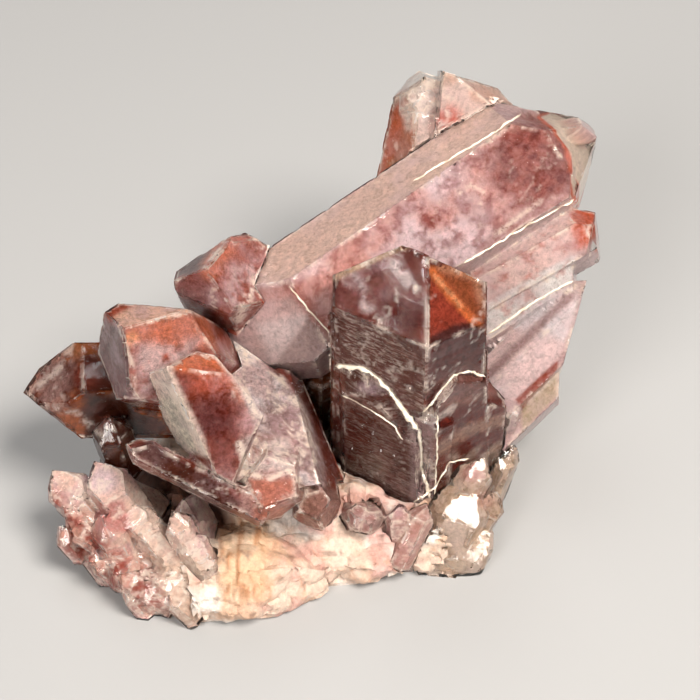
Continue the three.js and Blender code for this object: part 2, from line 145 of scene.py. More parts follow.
def cells(points, size, seed):
    """Distance to the nearest of the points scattered one to a cell, and that point's own number."""
    scaled = points / np.asarray(size, float)
    first = np.floor(scaled).astype(np.int64) - 1
    best = np.full(len(points), np.inf)
    number = np.zeros(len(points))
    for neighbour in np.ndindex(3, 3, 3):
        spot = first + neighbour
        jitter = np.stack([lattice(*spot.T, seed + n) for n in range(3)], axis=1)
        distance = np.linalg.norm(spot + jitter - scaled, axis=1)
        number = np.where(distance < best, lattice(*spot.T, seed + 3), number)
        best = np.minimum(best, distance)
    return best, number


def ramp(values, low, high):
    """0 below low, 1 above high, smooth between."""
    part = np.clip((values - low) / (high - low), 0, 1)
    return part * part * (3 - 2 * part)


# Masks on the show plane, in millimetres as seen

TINY = 1e-9  # stands in for zero where zero can't be divided by


def to_path(places, path):
    """Distance from each seen place to a line of straight pieces."""
    best = np.full(len(places), np.inf)
    for a, b in zip(path[:-1], path[1:]):
        a = np.array(a, float)
        b = np.array(b, float)
        along = np.clip(((places - a) @ (b - a)) / ((b - a) @ (b - a)), 0, 1)
        best = np.minimum(best, np.linalg.norm(places - a - along[:, None] * (b - a), axis=1))
    return best


def inside(places, outline, soft=0.4):
    """1 inside a closed outline and 0 outside, soft for that many millimetres either way."""
    crossings = np.zeros(len(places), int)
    for (ax, ay), (bx, by) in zip(outline, [*outline[1:], outline[0]]):
        spans = (ay > places[:, 1]) != (by > places[:, 1])
        reach = ax + (places[:, 1] - ay) * (bx - ax) / (by - ay if by != ay else TINY)
        crossings += spans & (places[:, 0] < reach)
    away = to_path(places, [*outline, outline[0]])
    signed = np.where(crossings % 2 == 1, away, -away)
    return ramp(signed, -soft, soft)


# Surfaces

WELD = 1e-6  # metres, solids' corners nearer than this are one
GRID_FILL = 0.95  # a remeshed solid fills at most this share of its grid
HARD_EDGE = math.radians(28)  # faces that meet more sharply are shaded apart
CORE = 0.3  # share of a line's or blob's width that has full strength
THIN_CORE = 0.2  # the same for veins, worn and glinting edges, and chips

# A clear skin lets this share of a dark phantom's light out, and up to the gain more of a bright one's
SKIN_PASSES = 0.42
SKIN_GAIN = 0.55
BRIGHTEST = 0.93  # of all the phantoms' paint


def under_skin(seen_colour):
    """The colour a covered surface needs, because light caught under a clear skin makes it look darker."""
    return np.clip(seen_colour / (SKIN_PASSES + SKIN_GAIN * seen_colour), 0, BRIGHTEST)


def broken_up(noise, share, first, last):
    """1 on a share of a surface, where its noise is high, with first and last as the soft limits."""
    return ramp(noise, first - 0.3 * share, last - 0.3 * share)


class Surface:
    """A fine copy of a solid's skin, with the paint and relief that its points carry."""

    def __init__(self, node, cell, covered=False):
        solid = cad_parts[node]
        size = max(np.ptp([v.co for v in solid.data.vertices], axis=0)) / MM
        work = bpy.data.objects.new("work", solid.data.copy())
        bpy.context.scene.collection.objects.link(work)
        weld = bmesh.new()
        weld.from_mesh(work.data)
        bmesh.ops.remove_doubles(weld, verts=weld.verts, dist=WELD)
        edges = sharp_edges(weld)
        faces = BVHTree.FromBMesh(weld)
        weld.to_mesh(work.data)
        weld.free()
        depth = math.ceil(math.log2(size / cell / GRID_FILL))
        remesh = work.modifiers.new("remesh", "REMESH")
        remesh.mode = "SHARP"
        remesh.octree_depth = depth
        remesh.scale = size / cell / 2**depth
        remesh.use_remove_disconnected = False
        evaluated = work.evaluated_get(bpy.context.evaluated_depsgraph_get())
        self.mesh = bpy.data.meshes.new_from_object(evaluated)
        bpy.data.objects.remove(work)
        self.node = node
        self.covered = covered
        row_points = np.zeros(len(self.mesh.vertices) * 3)
        self.mesh.vertices.foreach_get("co", row_points)
        row_points = row_points.reshape(-1, 3)
        normals = np.array([faces.find_nearest(point)[1] for point in row_points])
        self.edge = np.array([edges.find(point)[2] for point in row_points]) / MM
        self.points = to_show(row_points)
        self.start = self.points.copy()
        self.seen = seen(self.start)
        self.normals = normals @ SHOW_AXES.T
        self.tint = np.full((len(row_points), 3), 0.5)
        self.crust_and_glints = np.zeros(len(row_points))
        self.veil = np.zeros(len(row_points))
        self.lines = np.zeros(len(row_points))
        self.grain = self.points.copy()

    def paint(self, code, amount=1.0):
        """Lays a colour over the paint below, as thick as a mask from 0 to 1 says."""
        amount = np.clip(amount, 0, 1) * np.ones(len(self.tint))
        wanted = under_skin(colour(code)) if self.covered else colour(code)
        self.tint = self.tint * (1 - amount[:, None]) + wanted * amount[:, None]

    def push(self, amount):
        """Moves the points along their faces' normals."""
        self.points = self.points + self.normals * (amount * np.ones(len(self.points)))[:, None]

    def looking(self, direction, least):
        """1 on faces that look in a direction of the show plane."""
        return ramp(self.normals @ unit(direction), least - 0.04, least)

    def noise(self, size, seed, octaves=4):
        return cloud(self.start, size, seed, octaves)

    def within(self, *outline, soft=0.4):
        """1 inside an outline of seen places."""
        return inside(self.seen, outline, soft)

    def along(self, *path, width=1.0):
        """1 on a line of seen places, falling to 0 at width from it."""
        return 1 - ramp(to_path(self.seen, path), width * CORE, width)

    def blob(self, middle, width, height=None):
        """1 at a seen place, falling to 0 at width across and height up from it."""
        away = (self.seen - middle) / (width, height or width)
        return 1 - ramp(np.linalg.norm(away, axis=1), CORE, 1)

    def veins(self, size, seed, width=0.06):
        """Thin crooked lines."""
        return 1 - ramp(np.abs(self.noise(size, seed) - 0.5), width * THIN_CORE, width)

    def axes_along(self, axis, facing):
        """Turns the grain to a crystal's own frame: across its front, out of it and along its axis."""
        axis = unit(axis)
        front = unit(np.asarray(facing) - axis * (np.asarray(facing) @ axis))
        self.grain = self.start @ np.array((np.cross(front, axis), front, axis)).T

    def end_at(self, place, direction, where):
        """Flattens what reaches past a plane on to it."""
        normal = unit(direction)
        over = np.maximum((self.points - np.asarray(place, float)) @ normal, 0) * where
        self.points = self.points - normal * over[:, None]

    def frost_and_glints(self, where, amount=1.0):
        """Lays white, as crust in some marks and as painted glints of light in others, which never takes
        away what is there.
        """
        self.crust_and_glints = np.maximum(self.crust_and_glints, np.clip(where, 0, 1) * amount)

    def brushes(self):
        """The two ways of painting, and the masks that say where."""
        return self.paint, self.frost_and_glints, self.within, self.along, self.blob

    def worn_and_glinting_edges(self, seed, share, width=0.8):
        """Pale frosted edges, broken up here and there: partly chipped wear, partly painted glints of light
        along the edges.
        """
        rough = self.noise(3.0, seed + 400)
        fine = self.noise(0.8, seed + 401, 2)
        where = broken_up(rough, share, 0.62, 0.74) * (0.35 + fine)
        band = 1 - ramp(self.edge, width * THIN_CORE, width)
        self.crust_and_glints = np.maximum(self.crust_and_glints, band * where)

    def piece(self, name, material, slot, stands_for_node=False):
        """The finished mesh as a piece. A skin stands for the solid that it was shaped on."""
        mesh = self.mesh
        mesh.name = name
        kept_in_box = np.clip(to_row(self.points), cad_low, cad_high)
        mesh.vertices.foreach_set("co", kept_in_box.ravel())
        put(mesh, "tint", "FLOAT_COLOR", "color", np.c_[self.tint, np.ones(len(self.tint))])
        for layer in ("crust_and_glints", "veil", "lines"):
            put(mesh, layer, "FLOAT", "value", getattr(self, layer))
        put(mesh, "grain", "FLOAT_VECTOR", "vector", self.grain)
        mesh.materials.clear()
        mesh.materials.append(material)
        mesh.polygons.foreach_set("use_smooth", [True] * len(mesh.polygons))
        mesh.set_sharp_from_angle(angle=HARD_EDGE)
        mesh.update()
        thing = bpy.data.objects.new(name, mesh)
        bpy.context.scene.collection.objects.link(thing)
        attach(thing, "root")
        if stands_for_node:
            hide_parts(self.node)


def put(mesh, name, kind, field, values):
    """Writes one value or vector for each point, for the material to read."""
    attribute = mesh.attributes.new(name, kind, "POINT")
    attribute.data.foreach_set(field, np.asarray(values, np.float32).ravel())


def sharp_edges(solid, step=0.25 * MM, angle=math.radians(12)):
    """Points along the solid's corners and edges."""
    spots = []
    for edge in solid.edges:
        if len(edge.link_faces) == 2 and edge.calc_face_angle(0) > angle:
            a, b = (v.co for v in edge.verts)
            count = max(1, int((b - a).length / step))
            spots += [a.lerp(b, i / count) for i in range(count + 1)]
    tree = KDTree(len(spots))
    for i, spot in enumerate(spots):
        tree.insert(spot, i)
    tree.balance()
    return tree


# Materials

# The colour sockets of a Mix node
MIX_A = 6
MIX_B = 7
MIX_RESULT = 2


class Nodes:
    """Short calls for making a material's nodes."""

    def __init__(self, name):
        self.material = bpy.data.materials.new(name)
        self.material.use_nodes = True
        self.tree = self.material.node_tree
        self.made = self.tree.nodes
        self.shader = self.made["Principled BSDF"]

    def new(self, kind, **settings):
        node = self.made.new(kind)
        for key, value in settings.items():
            setattr(node, key, value)
        return node

    def fill(self, node, **values):
        """Sets inputs by name, with an underscore for each space."""
        for key, value in values.items():
            node.inputs[key.replace("_", " ")].default_value = value

    def link(self, source, target):
        self.tree.links.new(source, target)

    def feed(self, value, socket):
        if isinstance(value, (float, tuple)):
            socket.default_value = value
        else:
            self.link(value, socket)

    def attribute(self, name, output="Fac"):
        return self.new("ShaderNodeAttribute", attribute_name=name).outputs[output]

    def noise(self, vector, scale, detail=4.0, roughness=0.6, distortion=0.0):
        node = self.new("ShaderNodeTexNoise")
        self.link(vector, node.inputs["Vector"])
        self.fill(node, Scale=scale, Detail=detail, Roughness=roughness, Distortion=distortion)
        return node.outputs["Fac"]

    def stretch(self, vector, scale):
        node = self.new("ShaderNodeMapping")
        self.link(vector, node.inputs["Vector"])
        node.inputs["Scale"].default_value = scale
        return node.outputs["Vector"]

    def range(self, value, low, high, to_low=0.0, to_high=1.0):
        node = self.new("ShaderNodeMapRange")
        self.link(value, node.inputs["Value"])
        self.fill(node, From_Min=low, From_Max=high, To_Min=to_low, To_Max=to_high)
        return node.outputs["Result"]

    def math(self, operation, a, b):
        node = self.new("ShaderNodeMath", operation=operation)
        self.feed(a, node.inputs[0])
        self.feed(b, node.inputs[1])
        return node.outputs[0]

    def times(self, a, b):
        return self.math("MULTIPLY", a, b)

    def plus(self, a, b):
        return self.math("ADD", a, b)

    def mix(self, share, a, b, kind="MIX"):
        node = self.new("ShaderNodeMix", data_type="RGBA", blend_type=kind)
        self.feed(share, node.inputs["Factor"])
        self.feed(a, node.inputs[MIX_A])
        self.feed(b, node.inputs[MIX_B])
        return node.outputs[MIX_RESULT]

    def grey(self, value):
        node = self.new("ShaderNodeCombineColor")
        for channel in range(3):
            self.link(value, node.inputs[channel])
        return node.outputs[0]

    def relief(self, height, strength, distance):
        node = self.new("ShaderNodeBump")
        self.fill(node, Strength=strength, Distance=distance * MM)
        self.link(height, node.inputs["Height"])
        self.link(node.outputs["Normal"], self.shader.inputs["Normal"])

    def set(self, **values):
        self.fill(self.shader, **values)


def four(code):
    """A colour code as a shader takes it."""
    return (*colour(code), 1.0)


def phantom_material(name, mottle=0.45, speck="4a1a14", haze="cdb2b8"):
    """What shows inside the crystals: iron-red clouds with specks, streaks and milky veils, and pale
    stripes painted as glints of light on growth lines.
    """
    nodes = Nodes(name)
    tint = nodes.attribute("tint", "Color")
    crust_and_glints = nodes.attribute("crust_and_glints")
    veil = nodes.attribute("veil")
    grain = nodes.attribute("grain", "Vector")
    fine = nodes.noise(grain, 1.1, detail=6.0, roughness=0.72)
    swirls = nodes.noise(grain, 0.42, detail=5.0, roughness=0.6, distortion=1.6)
    broad = nodes.noise(grain, 0.18, detail=3.0)
    both = nodes.plus(nodes.times(fine, 0.5), nodes.times(swirls, 0.5))
    mottled = nodes.range(both, 0.38, 0.62, 1 - mottle, 1 + mottle * 0.6)
    varied = nodes.mix(1.0, tint, nodes.grey(mottled), "MULTIPLY")
    specks = nodes.range(nodes.noise(grain, 1.5, detail=3.0), 0.56, 0.68, 0.0, 0.8)
    bent = nodes.noise(grain, 0.55, detail=4.0, roughness=0.65, distortion=2.2)
    threads = nodes.range(nodes.math("ABSOLUTE", nodes.plus(bent, -0.5), 0.0), 0.0, 0.035, 0.9, 0.0)
    varied = nodes.mix(nodes.times(nodes.plus(specks, threads), mottle), varied, four(speck))
    haze_share = nodes.times(veil, nodes.range(nodes.plus(broad, both), 0.85, 1.2, 0.0, 1.0))
    hazed = nodes.mix(haze_share, varied, four(haze))
    # painted glints: pale stripes where the lines layer says, for light caught by growth lines
    glint_stripes = nodes.noise(nodes.stretch(grain, (0.4, 0.4, 2.2)), 1.0, detail=4.0, distortion=0.8)
    glint_stripes = nodes.times(nodes.range(glint_stripes, 0.48, 0.57), nodes.range(fine, 0.38, 0.55, 0.2, 1.0))
    glinted = nodes.mix(nodes.times(glint_stripes, nodes.attribute("lines")), hazed, four("f0dfd2"))
    crusted_and_glinting = nodes.mix(nodes.times(crust_and_glints, nodes.range(fine, 0.35, 0.5)), glinted, four("fbeee2"))
    nodes.link(crusted_and_glinting, nodes.shader.inputs["Base Color"])
    nodes.set(Roughness=0.8, Specular_IOR_Level=0.0)
    return nodes.material


def clear_material(name, polish=0.02, relief=0.2):
    """Clear quartz skin: growth lines, fine pits, and frosting where it is chipped."""
    nodes = Nodes(name)
    crust_and_glints = nodes.attribute("crust_and_glints")
    grain = nodes.attribute("grain", "Vector")
    fine = nodes.noise(grain, 1.6, detail=6.0, roughness=0.7)
    lines = nodes.noise(nodes.stretch(grain, (0.3, 0.3, 3.4)), 1.0, detail=3.0)
    patches = nodes.noise(grain, 0.25, detail=3.0)
    rough = nodes.plus(nodes.range(patches, 0.4, 0.65, polish, polish + 0.08), nodes.times(crust_and_glints, 0.4))
    nodes.link(rough, nodes.shader.inputs["Roughness"])
    nodes.set(Base_Color=(1.0, 0.975, 0.96, 1.0), Transmission_Weight=1.0, IOR=1.54)
    nodes.relief(nodes.plus(nodes.times(lines, 0.7), nodes.times(fine, 0.5)), relief, 0.25)
    return nodes.material


def rock_material(name):
    """Rough crystalline rock: grainy, stained, with small facets."""
    nodes = Nodes(name)
    tint = nodes.attribute("tint", "Color")
    crust_and_glints = nodes.attribute("crust_and_glints")
    grain = nodes.attribute("grain", "Vector")
    fine = nodes.noise(grain, 1.3, detail=8.0, roughness=0.75)
    varied = nodes.mix(1.0, tint, nodes.grey(nodes.range(fine, 0.3, 0.7, 0.5, 0.92)), "MULTIPLY")
    stains = nodes.range(nodes.noise(grain, 0.3, detail=5.0, roughness=0.7), 0.54, 0.7, 0.0, 0.5)
    clean = nodes.range(crust_and_glints, 0.0, 1.0, 1.0, 0.1)
    stained = nodes.mix(nodes.times(stains, clean), varied, four("c8906c"))
    nodes.link(stained, nodes.shader.inputs["Base Color"])
    nodes.link(nodes.range(fine, 0.3, 0.7, 0.3, 0.7), nodes.shader.inputs["Roughness"])
    nodes.set(IOR=1.5, Subsurface_Weight=0.15, Subsurface_Scale=2 * MM, Subsurface_Radius=(1.0, 0.6, 0.4))
    facets = nodes.new("ShaderNodeTexVoronoi")
    nodes.link(grain, facets.inputs["Vector"])
    facets.inputs["Scale"].default_value = 0.8
    nodes.relief(nodes.plus(nodes.times(facets.outputs["Distance"], 0.5), fine), 0.6, 0.4)
    return nodes.material


# Shared relief and wear


def chip_edges(surface, seed, share, width=0.5, depth=0.3, bright=0.9):
    """Edges are broken back here and there, and the breaks are frosted."""
    where = broken_up(surface.noise(2.2, seed), share, 0.66, 0.8)
    band = 1 - ramp(surface.edge, width * THIN_CORE, width * (0.5 + where))
    surface.push(-depth * band * where * (0.4 + 0.9 * surface.noise(0.7, seed + 1, 2)))
    surface.crust_and_glints = np.maximum(surface.crust_and_glints, band * where * bright)


def growth_lines(surface, height, size, seed, where, levels=7):
    """Fine steps across a prism face, square to the crystal's axis."""
    wave = cloud(surface.grain, (9.0, 9.0, size), seed, octaves=3)
    steps = np.round(wave * levels) / levels
    surface.push((0.6 * steps + 0.4 * wave - 0.5) * height * 2 * where)


# Pits, in shares of the distance between them
PIT_RADIUS = 0.34
PIT_SLOPE = (-0.02, 0.16)  # from just outside the radius to the flat bottom
LIP_PLACE = 0.07  # outside the radius
LIP_SLOPE = (0.02, 0.09)  # from the lip's crest to its foot
LIP_HEIGHT = 0.35  # in pit depths
LEAST_RADIUS = 0.05  # a smaller pit has no lip


def pits(surface, size, depth, share, seed, where):
    """Small hollows with a raised lip."""
    distance, number = cells(surface.start, size, seed)
    radius = PIT_RADIUS * ramp(number, 1 - share, 1)
    hollow = ramp(radius - distance, *PIT_SLOPE)
    lip = (radius > LEAST_RADIUS) * (1 - ramp(np.abs(distance - radius - LIP_PLACE), *LIP_SLOPE))
    surface.push((-depth * hollow + LIP_HEIGHT * depth * lip) * where)


def steepness(surface, axis):
    """1 on prism faces, 0 on tip faces."""
    return 1 - ramp(np.abs(surface.normals @ unit(axis)), 0.3, 0.4)


def crystals(node, slot, seed, axis, facing, cell_sizes, lines, wave, chips=0.6, pit=0.0):
    """Makes a group's clear skin, and returns the covered surface that its phantom is painted on."""
    outer = Surface(node, cell_sizes[0])
    outer.axes_along(axis, facing)
    prism = steepness(outer, axis)
    growth_lines(outer, height=lines, size=1.2, seed=seed, where=0.25 + 0.75 * prism)
    if pit:
        pits(outer, size=1.7, depth=pit, share=0.45, seed=seed + 20, where=prism)
        pits(outer, size=0.9, depth=pit * 0.5, share=0.5, seed=seed + 30, where=prism)
    outer.push((outer.noise(5.0, seed + 1) - 0.5) * 2 * wave)
    chip_edges(outer, seed=seed + 3, share=chips)
    outer.piece(node + "_skin", clear, slot, True)
    inner = Surface(node, cell_sizes[1], covered=True)
    inner.axes_along(axis, facing)
    return inner


# Mineral seams

SEAM_SIDES = 7
SEAM_STEP = 0.25  # between the rings of a seam
SEAM_WOBBLE = 1.6  # size of the bends and knots along it
SEAM_SPREAD = 1.5  # its half width along the face, in radii
SEAM_LIFT = 0.6  # its half height out of the face, in radii
SEAM_ENDS = 4  # rings that it takes to come to its full thickness


def on_faces(faces, line):
    """Where a line of seen places lies on a solid's faces, in the show plane's frame."""
    found = []
    for spot in even_steps(line, SEAM_STEP):
        place = Vector(to_row(np.array((*spot, 0.0))))
        hit = faces.ray_cast(EYE, (place - EYE).normalized())[0]
        if hit is not None:
            found.append(np.array(hit))
    return to_show(np.array(found).reshape(-1, 3))


def ridge(mesh, middles, radius, number, seed):
    """One seam: a low tube that swells and bends along its way and tapers at its ends."""
    wobble = cloud(middles, SEAM_WOBBLE, seed + number) - 0.5
    thick = radius * (0.25 + 1.5 * cloud(middles, SEAM_WOBBLE, seed + 50 + number))
    place = np.arange(len(middles))
    taper = np.minimum(1, np.minimum(place, place[::-1]) / SEAM_ENDS + 0.15)
    forward = np.gradient(middles, axis=0)
    loops = []
    for i, centre in enumerate(middles):
        ahead = unit(forward[i] + TINY)
        across = unit(np.cross(ahead, (0.0, 0.0, 1.0)))
        lift = np.cross(across, ahead)
        loop = []
        for k in range(SEAM_SIDES):
            turn = 2 * math.pi * k / SEAM_SIDES
            size = thick[i] * taper[i] * (1 + 0.5 * (lattice(i, k, number, seed) - 0.5))
            offset = across * math.cos(turn) * size * SEAM_SPREAD + lift * math.sin(turn) * size * SEAM_LIFT
            loop.append(mesh.verts.new(to_row(centre + across * wobble[i] + offset)))
        loops.append(loop)
    for a, b in zip(loops[:-1], loops[1:]):
        for k in range(SEAM_SIDES):
            after = (k + 1) % SEAM_SIDES
            mesh.faces.new((a[k], a[after], b[after], b[k]))
    mesh.faces.new(loops[0][::-1])
    mesh.faces.new(loops[-1])


def ridges_on(name, node, material, lines, seed):
    """Mineral seams that stand a little proud of a solid's faces, laid along lines of seen places."""
    solid = bmesh.new()
    solid.from_mesh(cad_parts[node].data)
    faces = BVHTree.FromBMesh(solid)
    solid.free()
    mesh = bmesh.new()
    for number, (radius, line) in enumerate(lines):
        middles = on_faces(faces, line)
        if len(middles) >= SEAM_ENDS:
            ridge(mesh, middles, radius, number, seed)
    bmesh.ops.recalc_face_normals(mesh, faces=mesh.faces)
    data = bpy.data.meshes.new(name)
    mesh.to_mesh(data)
    mesh.free()
    data.materials.append(material)
    data.polygons.foreach_set("use_smooth", [True] * len(data.polygons))
    thing = bpy.data.objects.new(name, data)
    bpy.context.scene.collection.objects.link(thing)
    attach(thing, "root")


def even_steps(line, step):
    """Places along a line of straight pieces, a step apart."""
    spots = []
    for a, b in zip(line[:-1], line[1:]):
        a = np.array(a, float)
        b = np.array(b, float)
        count = max(1, int(np.linalg.norm(b - a) / step))
        spots += [a + (b - a) * i / count for i in range(count)]
    return [*spots, np.array(line[-1], float)]


def seam_material(name):
    """Cream mineral that fills the seams between crystals."""
    nodes = Nodes(name)
    place = nodes.new("ShaderNodeTexCoord").outputs["Object"]
    grainy = nodes.noise(place, 900.0, detail=4.0)
    painted = nodes.mix(nodes.range(grainy, 0.35, 0.65), four("e8d8c0"), four("fff6e8"))
    nodes.link(painted, nodes.shader.inputs["Base Color"])
    nodes.set(Roughness=0.45, IOR=1.5)
    nodes.relief(grainy, 0.5, 0.3)
    return nodes.material


# Front prism

FRONT_AXIS = (0, 0.643, 0.766)
FRONT_FACING = (0.35, -0.7, 0.6)


def front_prism():
    inner = crystals(
        "front_prism", "red_quartz", seed=10, axis=FRONT_AXIS, facing=FRONT_FACING,
        cell_sizes=(0.42, 0.66), lines=0.2, wave=0.1, chips=0.5, pit=0.4,
    )
    paint, frost_and_glints, within, along, blob = inner.brushes()
    clouds = inner.noise(7.0, 31)
    small = inner.noise(2.5, 32)
    prism = steepness(inner, FRONT_AXIS)
    paint("5e2e24")
    paint("46201a", ramp(clouds, 0.45, 0.62))
    paint("7c4638", ramp(small, 0.55, 0.7) * 0.7)
    # left tip face: a painted lilac haze of reflected light over dark red, tan rim along the top
    tip_left = within((-3.2, 15.6), (10.4, 22), (16.6, 16.4), (15.4, 0.8), (-3.2, 9.2))
    paint("5a2822", tip_left * 0.9)
    paint("a08088", tip_left * blob((5.4, 14), 7, 5.4) * ramp(clouds, 0.35, 0.6) * 0.8)
    paint("c4a8a8", tip_left * along((0, 14), (3.4, 9), width=2.4) * ramp(small, 0.35, 0.6))
    paint("c4a8a8", tip_left * along((9, 17), (12.6, 12), width=2) * ramp(small, 0.4, 0.6))
    paint("40100a", tip_left * blob((11, 6.6), 8, 6.4) * ramp(small, 0.25, 0.5))
    paint("bd9478", along((-3.2, 15.2), (10.4, 21.6), width=1.9))
    # right tip face: orange band, brown above it, dark red below
    tip_right = within((16.6, 16.4), (22.8, 17.6), (26.2, 15), (27.6, 6), (15.4, 0.8))
    paint("743820", tip_right)
    paint("a86c50", tip_right * along((19, 17), (26, 15), (27.4, 10), width=2.4) * 0.7)
    paint("7a2c1e", tip_right * within((16.4, 14), (27.6, 2.6), (15.4, 0.6), soft=0.5))
    paint("c4562c", along((16.6, 16), (20, 11.2), (27.2, 3.4), width=1.3))
    paint("e89060", along((17.2, 14.8), (22.6, 8.6), width=0.6) * 0.7)
    shadow = within((15.6, 2), (21, 5), (24, 5.4), (27.6, 3.4), (27.6, 0), (17, -2))
    paint("240604", shadow * 0.9)
    # prism faces
    left_face = prism * within((-3.2, 9), (15.4, 0.6), (14.6, -12.6), (-3.2, -4))
    paint("4e2c26", left_face * 0.8)
    # painted glints: pale stripes of light caught by growth lines on the left face, fainter on the
    # overgrowth below
    inner.lines = left_face * 0.55 * ramp(inner.noise(4.0, 37), 0.35, 0.6)
    paint("3c0c06", prism * within((15.6, 0), (27.4, 5), (27.4, -8), (15.6, -12)) * 0.92)
    left_over = within((-1.6, -4), (2, -4), (14, -17), (14, -31), (8, -34), (-1.6, -27), soft=0.6)
    paint("40211b", left_over * 0.85)
    inner.lines = np.maximum(inner.lines, left_over * 0.2)
    paint("93777e", blob((4.4, -7.6), 4.6, 2.2) * ramp(small, 0.3, 0.55))
    paint("6a443c", along((-1.6, -9), (3, -11.4), (9.2, -15.4), width=1.6) * 0.8)
    paint("8c7070", within((12, -13.4), (17, -13.4), (17, -31), (12, -31), soft=0.6) * 0.8)
    right_over = within((17.6, -12), (32, -9), (31.6, -24), (18, -30), soft=0.6)
    paint("4c150e", right_over * 0.9)
    paint("8f6858", along((18, -20), (24, -16), (31, -14), width=1.8) * 0.8)
    right_step = within((18, -6), (23, -3), (27, -4), (27, -9), (18, -12), soft=1.4)
    paint("7c564e", right_step * clouds)
    paint("c4aaa0", along((17.4, -9.6), (20, -7.4), width=0.8))
    paint("c4aaa0", along((18, -13.6), (21, -11.4), width=0.8))
    low_band = within((20, -21), (32, -18), (32, -26), (20, -29), soft=1.4)
    paint("b09484", low_band * ramp(small, 0.35, 0.6))
    # the hollow to the left: amber quartz, painted dark as shade
    paint("5c2c14", within((-14, -4), (-3.6, -4), (-3.6, -27), (-8, -27), soft=0.5))
    amber = within((-14, -14), (-5, -16), (-5, -27), (-8, -27), soft=1)
    paint("c07a34", amber * ramp(small, 0.45, 0.6))
    # cracks, a bright chip on the tip, and painted highlights on the rims of the etch pits
    frost_and_glints(inner.veins(6.0, 33, 0.02) * ramp(inner.noise(5.0, 35), 0.5, 0.6), 0.6)
    frost_and_glints(blob((13, 12.4), 0.9, 1.2))
    distance, number = cells(inner.grain, (2.4, 2.4, 1.5), 36)
    pit_rim_highlights = 1 - ramp(np.abs(distance - 0.26), 0.03, 0.12)
    frost_and_glints(left_face * pit_rim_highlights * ramp(number, 0.6, 0.7), 0.7)
    inner.veil = 0.1 * ramp(inner.noise(9.0, 34), 0.45, 0.65)
    inner.worn_and_glinting_edges(seed=10, share=0.5)
    inner.push(-0.5 - 0.4 * (1 - prism))
    inner.piece("front_prism_phantom", phantom, "red_quartz")
    ridges_on(
        "front_prism_seams", "front_prism", seam,
        [
            (0.38, [(-3, -3.3), (2, -3.4), (4, -4.4), (6, -5.8), (8.2, -8.4), (11, -12), (13.8, -16)]),
            (0.26, [(13.8, -15.6), (14.2, -20), (14.2, -23), (14.8, -25), (16, -29.6)]),
            (0.2, [(14.6, -12.6), (16, -11), (18, -8.2), (20.8, -5.2), (23.6, -4.2), (27.2, -5.2)]),
            (0.13, [(-1.6, -9), (3, -11.4), (6, -13), (9.2, -15.4), (10.6, -18)]),
            (0.14, [(10.6, -33), (14, -29.4), (17, -27.4), (20, -22.4), (24, -21.6)]),
            (0.12, [(17.4, -12.6), (17.4, -20), (17, -29)]),
            (0.1, [(2, -26), (6, -30), (8, -34)]),
        ],
        seed=70,
    )


# Long crystals

LONG_AXIS = (0.834, 0.552, -0.1)
LONG_FACING = (0.097, -0.144, 0.985)


